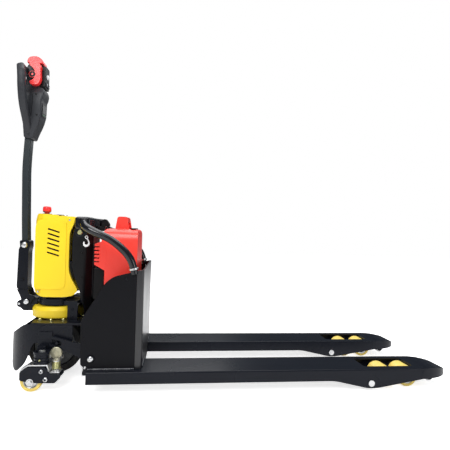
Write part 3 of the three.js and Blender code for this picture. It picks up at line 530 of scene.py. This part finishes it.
def fork_details():
    for side, s in SIDES:
        weld_bead(f"weld_outside_{side}", (-184, s * 249.5, 80.5), (-26, s * 249.5, 80.5), 4.5,
                  "fork_frame")
        weld_bead(f"weld_inside_{side}", (-184, s * 240.5, 80.5), (-118, s * 240.5, 80.5), 4, "fork_frame")
        weld_bead(f"weld_front_{side}", (0.5, s * 122, 80.5), (0.5, s * 222, 80.5), 3.6, "fork_frame")
        weld_bead(f"weld_tray_{side}", (-176, s * 240.5, 285), (-30, s * 240.5, 285), 3.2, "fork_frame")
        turned(f"rocker_pin_bolt_{side}", dome_bolt(10.5, 5), at(ROCKER_PIN[0], s * 252.2, ROCKER_PIN[1]),
               (0, s, 0), "rocker", ZINC)
        for cheek, height in (("outer", FORK_Y + 82.5), ("inner", FORK_Y - 82.5)):
            turned(f"arm_pin_{cheek}_{side}", pin_end(10.5, 2.4), at(ARM_PIN[0], s * height, ARM_PIN[1]),
                   (0, s if cheek == "outer" else -s, 0), "fork_frame", ZINC)
        for i, x in enumerate((60, 330, 600)):
            bm = bmesh.new()
            add_plate(bm, box_outline(x, s * FORK_Y - 75, x + 40, s * FORK_Y + 75, 6), 0, 5, on_xy(69.5))
            piece(f"fork_stiffener_{i}_{side}", finished("stiffener", bm), "fork_frame", BLACK_PAINT)
        for i, (x, z) in enumerate(((-192, 86), (-60, 392))):
            turned(f"plate_rivet_{i}_{side}", dome_bolt(4.5, 2.4), at(x, s * 248, z), (0, s, 0),
                   "fork_frame", ZINC if i == 0 else BLACK_PAINT)
        collar = [(13.4, 0), (16.5, 1), (16.5, 7), (13.4, 8)]
        turned(f"tube_collar_{side}", [(collar, 30)], at(-35.5, s * 245, 423), (-0.2, 0, 1), "fork_frame",
               ZINC)


def push_rod_details():
    for side, s in SIDES:
        y = s * FORK_Y
        for i, x in enumerate((-60, 640)):
            turned(f"rod_nut_{i}_{side}", [([(0, 0), (14, 0), (16, 2), (16, 18), (14, 20), (0, 20)], 6)],
                   at(x, y, 55 + (x + 196) * 0.0022), (1, 0, 0), f"rod_{side}", CHROMATE)
        thread = [(0, 0)]
        for k in range(24):
            thread += [(10.6, 1 + k * 2.5), (11.6, 2.2 + k * 2.5)]
        thread += [(0, 62)]
        turned(f"rod_thread_{side}", [(thread, 20)], at(-40, y, 55.5), (1, 0, 0), f"rod_{side}", ZINC)


def roller_details():
    for side, s in SIDES:
        y = s * FORK_Y
        for name, x in (("inner", 902.5), ("outer", 989.5)):
            body = f"{name}_roller_{side}"
            tyre = [(26, -43), (33, -43.8), (35.6, -42.4), (36.9, -39), (37, -36), (37, 36), (36.9, 39),
                    (35.6, 42.4), (33, 43.8), (26, 43)]
            core = [(9.2, -41), (25.9, -41), (25.9, 41), (9.2, 41)]
            roller = turned(f"load_roller_tread_{name}_{side}", [(tyre, 48)], at(x, y, 37), (0, 1, 0),
                            body, TYRE)
            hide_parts(f"load_roller_{name}_{side}")
            turned(f"load_roller_core_{name}_{side}", [(core, 40)], at(x, y, 37), (0, 1, 0), body, ZINC)
            for end, e in (("a", 1), ("b", -1)):
                seal = [(10, 0), (10, 1.4), (12, 2), (20, 2), (21, 1.2), (21, 0)]
                turned(f"roller_seal_{name}_{side}_{end}", [(seal, 32)], at(x, y + e * 41, 37), (0, e, 0),
                       body, BLACK_PLASTIC)
                turned(f"roller_axle_{name}_{side}_{end}", pin_end(7, 2), at(x, y + e * 53.9, 37),
                       (0, e, 0), f"tandem_{side}", ZINC)


def housing_details():
    hook = [(-227, 526), (-222, 520), (-219, 513), (-219, 506), (-223, 500.5), (-229, 498.5), (-235, 501),
            (-237.5, 507), (-236, 514)]
    for side, s in SIDES:
        bm = bmesh.new()
        centres = along([at(x, s * 100.1, z) for x, z in hook], 40)
        grow = [0.75] * 14 + [1.0 + 0.04 * i for i in range(12)] + [1.45 - 0.06 * i for i in range(14)]
        add_tube(bm, centres, 3.1, 10, 0.12, Vector((0, 1, 0)), lambda i: grow[i])
        piece(f"hook_mark_{side}", finished("hook", bm), "fork_frame", DECAL, 80)
        eye = [(3.2, 0), (6.2, 0), (6.2, 0.5), (3.2, 0.5)]
        turned(f"hook_eye_{side}", [(eye, 28)], at(-228, s * 100, 531), (0, s, 0), "fork_frame", DECAL)
        boss = [(10, 0), (10, 3), (15, 3), (17.5, 1.5), (17.5, 0)]
        turned(f"lifting_boss_{side}", [(boss, 36)], at(-252, s * 99.9, 549), (0, s, 0),
               "fork_frame", BLACK_PAINT)
        bar = [(0, 0), (9.6, 0), (9.6, 4), (8, 6), (0, 6)]
        turned(f"lifting_bar_{side}", [(bar, 30)], at(-252, s * 99.9, 549), (0, s, 0),
               "fork_frame", CHROMATE)
        for i, (x, z) in enumerate(((-243, 380), (-243, 470))):
            turned(f"housing_screw_{i}_{side}", dome_bolt(5, 2.6), at(x, s * 100, z), (0, s, 0),
                   "fork_frame", BLACK_PLASTIC)
        end_cap = [(0, 0), (17, 0), (17, 1), (15.5, 2.2), (14, 2.2), (13, 1.2), (0, 1.2)]
        turned(f"crosshead_cap_{side}", [(end_cap, 36)], at(-223, s * 199, 584), (0, s, 0), "fork_frame",
               GLOSS_BLACK)
    rail = box_outline(-70, 300, 70, 540, 10)
    plate("battery_contact_plate", rail, 0, 1.6, on_yz(-208, 1), "fork_frame", GREY_PLASTIC)
    socket = box_outline(-207, -70, -160, 70, 8)
    plate("battery_socket", socket, 0, 122, on_xy(292), "fork_frame", BLACK_PLASTIC,
          bevel=3)
    plate("socket_rim", box_outline(-198, -34, -168, 34, 5), 0, 4, on_xy(414), "fork_frame", GREY_PLASTIC)
    for i, y in enumerate((-22, -8, 8, 22)):
        contact = [(0, 0), (4, 0), (4, 5), (3, 7), (0, 7)]
        turned(f"socket_contact_{i}", [(contact, 20)], at(-183, y, 418), (0, 0, 1), "fork_frame", ZINC)


# ---- Battery
def battery_details():
    for side, s in SIDES:
        panel = rounded([(-150, 330, 14), (-56, 330, 14), (-56, 520, 14), (-150, 520, 14)])
        plate(f"battery_panel_{side}", panel, 0, 0.9, on_xz(120, s), "battery", BATTERY_RED,
              bevel=0.4)
        for i, (x, z) in enumerate(((-143, 310), (-50, 310))):
            turned(f"battery_screw_{i}_{side}", dome_bolt(3.6, 2), at(x, s * 120, z), (0, s, 0),
                   "battery", ZINC)
    gauge = box_outline(-150, -20, -134, 20, 4)
    plate("battery_gauge", gauge, 0, 1.4, on_xy(565.6), "battery", SCREEN)
    for i in range(4):
        plate(f"battery_gauge_lamp_{i}", box_outline(-145, -15 + i * 8, -139, -10 + i * 8, 1.5), 0, 1.8,
              on_xy(565.6), "battery", LAMP if i else RED, bevel=0.2)
    turned("battery_charge_cap",
           [([(0, 0), (15, 0), (15, 3), (13, 4.4), (9, 4.4), (8, 3.4), (0, 3.4)], 36)],
           at(-54, -80, 565.5), (0, 0, 1), "battery", BLACK_PLASTIC)


# ---- Power cover and the chassis behind it
VENT = {"top": 553, "pitch": 17.8, "count": 6, "x": -353, "half": 23, "rise": 3.1, "slope": 17}


def vent_holes(grow=0.0):
    holes = []
    tilt = math.radians(-VENT["slope"])
    for i in range(VENT["count"]):
        centre = Vector((VENT["x"], VENT["top"] - i * VENT["pitch"]))
        along_u = Vector((math.cos(tilt), math.sin(tilt))) * (VENT["half"] + grow)
        along_v = Vector((-math.sin(tilt), math.cos(tilt))) * (VENT["rise"] + grow)
        holes.append([centre - along_u - along_v, centre + along_u - along_v,
                      centre + along_u + along_v, centre - along_u + along_v])
    return holes


def cover_details():
    for side, s in SIDES:
        raised = rounded([(-419, 330, 16), (-306, 330, 20), (-306, 588, 14), (-409, 594, 18),
                          (-419, 570, 12)])
        bm = bmesh.new()
        add_plate(bm, raised, 0, 2.4, on_xz(79.9, s), vent_holes())
        panel = piece(f"cover_panel_{side}", finished("panel", bm), "chassis", YELLOW)
        soften(panel, 1.1, 2)
        # Painted shade: a black sheet and black blocks just behind the vent slots make them read dark, in
        # place of the shade inside the cover.
        bm = bmesh.new()
        add_plate(bm, box_outline(-380, 450, -326, 566, 3), 0, 2, on_xz(69, s))
        for hole in vent_holes(1.5):
            add_plate(bm, hole, 0, 6, on_xz(70.5, s))
        piece(f"vent_shade_sheet_{side}", finished("backing", bm), "chassis", BLACK_PLASTIC)
        for i, (x, z) in enumerate(((-296, 594), (-404, 321))):
            turned(f"cover_screw_{i}_{side}", dome_bolt(4, 2.2), at(x, s * 80, z), (0, s, 0),
                   "chassis", ZINC)
    collar = [(12.6, 0), (19, 0), (19, 1.6), (17, 3), (12.6, 3)]
    turned("stop_collar", [(collar, 40)], at(STOP_X, 0, 615.5), (0, 0, 1), "chassis", GREY_PLASTIC)
    cap = [(0, 606), (9.5, 606), (9.5, 622), (12, 624), (14.6, 626), (15.8, 629), (16, 632), (15.6, 640)]
    cap += [(14.4, 644.4), (12, 646.4), (9, 646.9), (6, 646.2), (0, 645.4)]
    stop = turned("stop_cap", [(cap, 44)], at(STOP_X, 0, 0), (0, 0, 1), "stop_button", RED)
    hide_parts("emergency_stop")
    turned("stop_neck_band", [([(14.7, 0), (15.3, 0.4), (15.3, 2.4), (14.7, 2.8)], 40)], at(STOP_X, 0, 624),
           (0, 0, 1), "stop_button", GREY_PLASTIC)
    turned("key_switch", [([(0, 0), (11, 0), (11, 3), (9.5, 4.4), (8, 4.4), (8, 2.4), (0, 2.4)], 36)],
           at(STEER_X, 44, 612.5), (0, 0, 1), "chassis", CHROME)
    plate("key_slot", box_outline(-346, 39, -344, 49, 0.8), 0, 3.2, on_xy(612.6), "chassis", BLACK_PLASTIC,
          bevel=0.2)
    plate("charge_gauge", box_outline(-362, -58, -332, -18, 5), 0, 2.2, on_xy(612.2), "chassis", SCREEN)
    for i in range(5):
        y = -54 + i * 7
        plate(f"charge_lamp_{i}", box_outline(-350, y, -344, y + 4, 1), 0, 2.6, on_xy(612.2), "chassis",
              LAMP if i else RED, bevel=0.2)


def chassis_details():
    for k in range(11):
        angle = math.radians(-112 + k * 224 / 10)
        x = STEER_X + 110 * math.cos(angle)
        y = 110 * math.sin(angle)
        turned(f"deck_bolt_{k}", hex_bolt(5.5, 6), at(x, y, 219.3), (0, 0, 1), "chassis", CHROMATE)
    for side, s in SIDES:
        flange = rounded([(-374, 141, 14), (-254, 141, 8), (-254, 211.5, 8), (-374, 211.5, 22)])
        plate(f"guard_flange_{side}", flange, 0, 2.4, on_xz(160, s), "chassis", BLACK_PAINT,
              bevel=1.0)
        cap = [(0, -25), (4, -25), (4, 0), (19, 0), (20.5, 1.5), (20.5, 4), (18, 6), (9, 6), (8, 5), (0, 5)]
        turned(f"pivot_cap_{side}", [(cap, 36)], at(-303, s * 184, 121), (0, s, 0), "chassis",
               DULL_CHROMATE)
        for i, z in enumerate((232, 262)):
            turned(f"column_bolt_{i}_{side}", dome_bolt(5, 3), at(-270, s * 108, z), (0, s, 0),
                   "chassis", BLACK_PAINT)
        tube(f"motor_cable_{side}", [(-300, s * 70, 275), (-280, s * 88, 258), (-262, s * 84, 240),
                                     (-240, s * 60, 224)], 3.2, "chassis", BLACK_PLASTIC, "black_plastic",
                                     24)


# ---- Castors
def castor_details():
    for side, s in SIDES:
        y = s * CASTOR_Y
        body = f"castor_{side}"
        for e, end in ((1, "a"), (-1, "b")):
            face = y + e * 27
            axis = (0, e, 0)
            turned(f"castor_bolt_top_{side}_{end}", dome_bolt(7.5, 5), at(-337, face, 73), axis, body, ZINC)
            turned(f"castor_bolt_low_{side}_{end}", dome_bolt(8.5, 5.5), at(-322, face, 46), axis, body,
                   ZINC)
            turned(f"castor_axle_nut_{side}_{end}", hex_bolt(9, 7), at(CASTOR_AXLE_X, face, 37), axis, body,
                   ZINC)
        wheel_body = f"castor_wheel_{side}"
        tread = [(25, -14.6), (32, -15), (35.4, -13.6), (36.8, -10), (37, -6), (37, 6), (36.8, 10),
                 (35.4, 13.6), (32, 15), (25, 14.6)]
        wheel = turned(f"castor_tread_{side}", [(tread, 48)], at(CASTOR_AXLE_X, y, 37), (0, 1, 0),
                       wheel_body, TYRE)
        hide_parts(f"castor_wheel_{side}")
        hub = [(8.2, -15), (13, -15), (14, -12), (20, -10), (23, -13), (25.1, -13.6), (25.1, 13.6),
               (23, 13), (20, 10), (14, 12), (13, 15), (8.2, 15)]
        turned(f"castor_hub_{side}", [(hub, 40)], at(CASTOR_AXLE_X, y, 37), (0, 1, 0), wheel_body, ZINC)
        coil = []
        for k in range(121):
            angle = 2 * math.pi * 5.5 * k / 120
            coil.append(at(SPRING_X + 11.8 * math.cos(angle), y + 11.8 * math.sin(angle),
                           75 + 27 * k / 120))
        bm = bmesh.new()
        add_tube(bm, coil, 2.3, 8)
        spring = piece(f"castor_coil_{side}", finished("coil", bm), body, CHROMATE, 80)
        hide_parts(f"castor_spring_{side}")
        seat = [(0, 0), (15, 0), (15, 2.5), (14, 3), (8, 3), (8, 31.5), (14.5, 31.5), (15, 32.5), (15, 35),
                (9, 37.5), (0, 38)]
        turned(f"spring_seat_{side}", [(seat, 36)], at(SPRING_X, y, 70.6), (0, 0, 1), body, ZINC)
        turned(f"swivel_nut_{side}", hex_bolt(9, 9), at(-343, y, 131), (0, 0, 1), body, ZINC)
        turned(f"grease_nipple_{side}",
               [([(0, 0), (3, 0), (3, 3), (1.8, 4), (2.4, 6), (1.4, 8), (0, 8)], 16)],
               at(-343, y + s * 24.5, 111), (0, s, 0), "chassis", CHROMATE)


# ---- Drive wheel
def drive_details():
    for end, e in (("a", 1), ("b", -1)):
        face = e * 30
        turned(f"drive_hub_cap_{end}", [([(0, 0), (24, 0), (24, 5), (20, 8), (0, 9)], 40)],
               at(STEER_X, face, 105),
               (0, e, 0), "drive_wheel", CAST)
        for k in range(6):
            angle = math.radians(60 * k)
            turned(f"wheel_nut_{end}_{k}", hex_bolt(6, 6),
                   at(STEER_X + 48 * math.cos(angle), face, 105 + 48 * math.sin(angle)), (0, e, 0),
                   "drive_wheel", ZINC)
        for k, radius in enumerate((84, 96)):
            bead = [(radius - 1, -0.6), (radius, 0.6), (radius + 1, -0.6)]
            turned(f"tyre_bead_{end}_{k}", [(bead, 56)], at(STEER_X, e * 34.8, 105), (0, e, 0),
                   "drive_wheel", BLACK_TYRE)


# ---- Tiller
def smooth_copy(name, node, body, material, voxel, rounds):
    """A cast or moulded skin grown from a CAD node: fine even faces, with every edge blended."""
    mesh = NODES[node].data.copy()
    obj = piece(name, mesh, body, material, 180)
    weld = obj.modifiers.new("weld", "WELD")
    weld.merge_threshold = 2e-5
    remesh = obj.modifiers.new("remesh", "REMESH")
    remesh.mode = "VOXEL"
    remesh.voxel_size = voxel * MM
    remesh.use_smooth_shade = True
    blur = obj.modifiers.new("blur", "SMOOTH")
    blur.factor = 0.5
    blur.iterations = rounds
    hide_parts(node)
    return obj


def tiller_details():
    smooth_copy("head_skin", "head_shell", "tiller", GREY_PLASTIC, 2.0, 14)
    dome = rounded([(-486, 1204, 3), (-437, 1204, 3), (-428, 1204, 6), (-430, 1220, 14), (-450, 1233, 18),
                    (-476, 1229, 16), (-486, 1217, 8)], 8)
    belly = plate("belly_skin", dome, -HEAD_HALF, HEAD_HALF, on_xz(0, 1), "belly_button", RED,
                  bevel=5)
    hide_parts("reverse_button")
    plate("display_frame", box_outline(-25, 1000, 25, 1052, 8), 0, 1.4, on_yz(-426.4, 1), "tiller",
          BLACK_PLASTIC)
    plate("display_glass", box_outline(-20, 1012, 20, 1046, 5), 0, 1.9, on_yz(-426.4, 1), "tiller", SCREEN)
    for i in range(4):
        plate(f"display_lamp_{i}", box_outline(-15 + i * 8, 1004, -10 + i * 8, 1008, 1.5), 0, 1.9,
              on_yz(-426.4, 1),
              "tiller", LAMP, bevel=0.2)
    horn_hole = rounded([(-9.5, 1149.5, 9.4), (9.5, 1149.5, 9.4), (9.5, 1168.5, 9.4), (-9.5, 1168.5, 9.4)],
                        8)
    key_holes = [box_outline(y - 8.5, 1117, y + 8.5, 1134, 4) for y in (-12, 12)]
    bezel = box_outline(-27, 1109, 27, 1196, 9)
    plate("button_bezel", bezel, 0, 23, on_yz(-440.5, 1), "tiller", BLACK_PLASTIC,
          [horn_hole, *key_holes], 2.5)
    cap = [(0, 4), (9, 4), (9, 26), (8, 27.6), (5, 28.6), (0, 29)]
    horn = turned("horn_cap", [(cap, 36)], at(-440, 0, 1159), (1, 0, 0), "horn", WHITE)
    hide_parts("horn_button")
    for name, y, up in (("raise", 12, 1), ("lower", -12, -1)):
        key = plate(f"{name}_key", box_outline(y - 8, 1117.5, y + 8, 1133.5, 3.5), 4, 27, on_yz(-440, 1),
                    name,
                    GREY_PLASTIC, bevel=1.5)
        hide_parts(f"{name}_button")
        arrow = [(y - 4.5, 1125.5 - up * 3.4), (y + 4.5, 1125.5 - up * 3.4), (y, 1125.5 + up * 4.2)]
        plate(f"{name}_arrow", arrow, 0, 0.6, on_yz(-413.2, 1), name, WHITE, bevel=0)
    for side, s in SIDES:
        hub = [(0, 0), (13.4, 0), (13.4, 20.5), (11.5, 22.5), (4, 22.5), (3, 21.6), (0, 21.6)]
        turned(f"throttle_hub_{side}", [(hub, 32)], at(-458, s * 31.6, 1152), (0, s, 0), "throttle",
               BLACK_PLASTIC)
        line = [(-459, s * 41.2, 1080), (-459, s * 41.6, 1044), (-463, s * 38.2, 1000),
                (-468, s * 33.8, 948), (-470, s * 31, 918)]
        tube(f"shell_joint_{side}", line, 0.9, "tiller", BLACK_PLASTIC, "black_plastic", 40, sides=6)
        for i, (x, z, y) in enumerate(((-446, 1080, 41.2), (-442, 1000, 38), (-474, 925, 30.6))):
            turned(f"head_screw_{i}_{side}", dome_bolt(3.4, 1.8), at(x, s * y, z), (0, s, 0), "tiller",
                   BLACK_PLASTIC)
        turned(f"tube_bolt_{side}", dome_bolt(12, 5), at(-476, s * 25, 494), (0, s, 0), "tiller", ZINC)
        turned(f"bracket_bolt_{side}", hex_bolt(6, 5), at(-479, s * 25, 360), (0, s, 0), "tiller",
               BLACK_PAINT)
        turned(f"tilt_pin_{side}", pin_end(9.6, 3), at(TILLER_PIN[0], s * 37.8, TILLER_PIN[1]), (0, s, 0),
               "drive_unit", ZINC)
        turned(f"spring_pin_{side}", dome_bolt(4.5, 0.9), at(-489, s * 24, 266), (0, s, 0), "drive_unit",
               ZINC)
    tube("tiller_cable", [(-470, 0, 330), (-462, 0, 318), (-455, 8, 305), (-440, 12, 296), (-432, 10, 288)],
         4, "tiller", BLACK_PLASTIC, "black_plastic", 24)


fork_details()
push_rod_details()
roller_details()
housing_details()
battery_details()
cover_details()
chassis_details()
castor_details()
drive_details()
tiller_details()


# ---- Studio
def surroundings():
    """White to the camera, a soft grey as light, and dim in reflections so that blacks stay black."""
    world = bpy.data.worlds.new("studio")
    world.use_nodes = True
    tree = world.node_tree
    tree.nodes.clear()
    path = tree.nodes.new("ShaderNodeLightPath")
    shader = None
    for ray, color, strength in (
        ("Is Diffuse Ray", (0.97, 0.98, 1, 1), 0.3),
        ("Is Glossy Ray", (0.7, 0.84, 1, 1), 0.08),
        ("Is Camera Ray", (1, 1, 1, 1), 1.0),
    ):
        light = tree.nodes.new("ShaderNodeBackground")
        light.inputs["Color"].default_value = color
        light.inputs["Strength"].default_value = strength
        if shader:
            choose = tree.nodes.new("ShaderNodeMixShader")
            tree.links.new(path.outputs[ray], choose.inputs[0])
            tree.links.new(shader, choose.inputs[1])
            tree.links.new(light.outputs[0], choose.inputs[2])
            shader = choose.outputs[0]
        else:
            shader = light.outputs[0]
    output = tree.nodes.new("ShaderNodeOutputWorld")
    tree.links.new(shader, output.inputs["Surface"])
    bpy.context.scene.world = world


def studio():
    surroundings()
    reach = 9
    mesh = bpy.data.meshes.new("floor")
    corners = [(-reach, -reach, 0), (reach, -reach, 0), (reach, reach, 0), (-reach, reach, 0)]
    mesh.from_pydata(corners, [], [(0, 1, 2, 3)])
    floor = bpy.data.objects.new("floor", mesh)
    bpy.context.scene.collection.objects.link(floor)
    n = Nodes("floor")
    tone = n.mix(n.ramp(n.noise(0.8), 0, 1), (0.93, 0.93, 0.935), (0.95, 0.95, 0.95))
    n.link(tone, n.shader.inputs["Base Color"])
    path = n.new("ShaderNodeLightPath")
    n.link(n.ramp(path.outputs["Is Camera Ray"], 0.02, 0.74, 0, 1), n.shader.inputs["Emission Strength"])
    n.set(Roughness=0.9, Specular_IOR_Level=0.1, Emission_Color=(1, 1, 1, 1))
    mesh.materials.append(n.material)

    for name, place, aim, size, power in (
        ("key", (-1.2, -3.0, 2.6), (-0.2, 0, 0.4), 1.6, 82),
        ("top", (0.2, 0.3, 3.4), (0.1, 0, 0), 3.4, 120),
        ("fill", (3.0, -2.6, 1.2), (0.2, 0, 0.2), 1.4, 30),
        ("back", (-0.5, 3.2, 2.4), (-0.1, 0, 0.4), 2.2, 20),
    ):
        data = bpy.data.lights.new(name, "AREA")
        data.shape = "SQUARE"
        data.size = size
        data.energy = power
        light = bpy.data.objects.new(name, data)
        bpy.context.scene.collection.objects.link(light)
        light.location = place
        light.rotation_euler = (Vector(aim) - Vector(place)).to_track_quat("-Z", "Y").to_euler()


studio()
bpy.context.scene.view_settings.view_transform = "Standard"
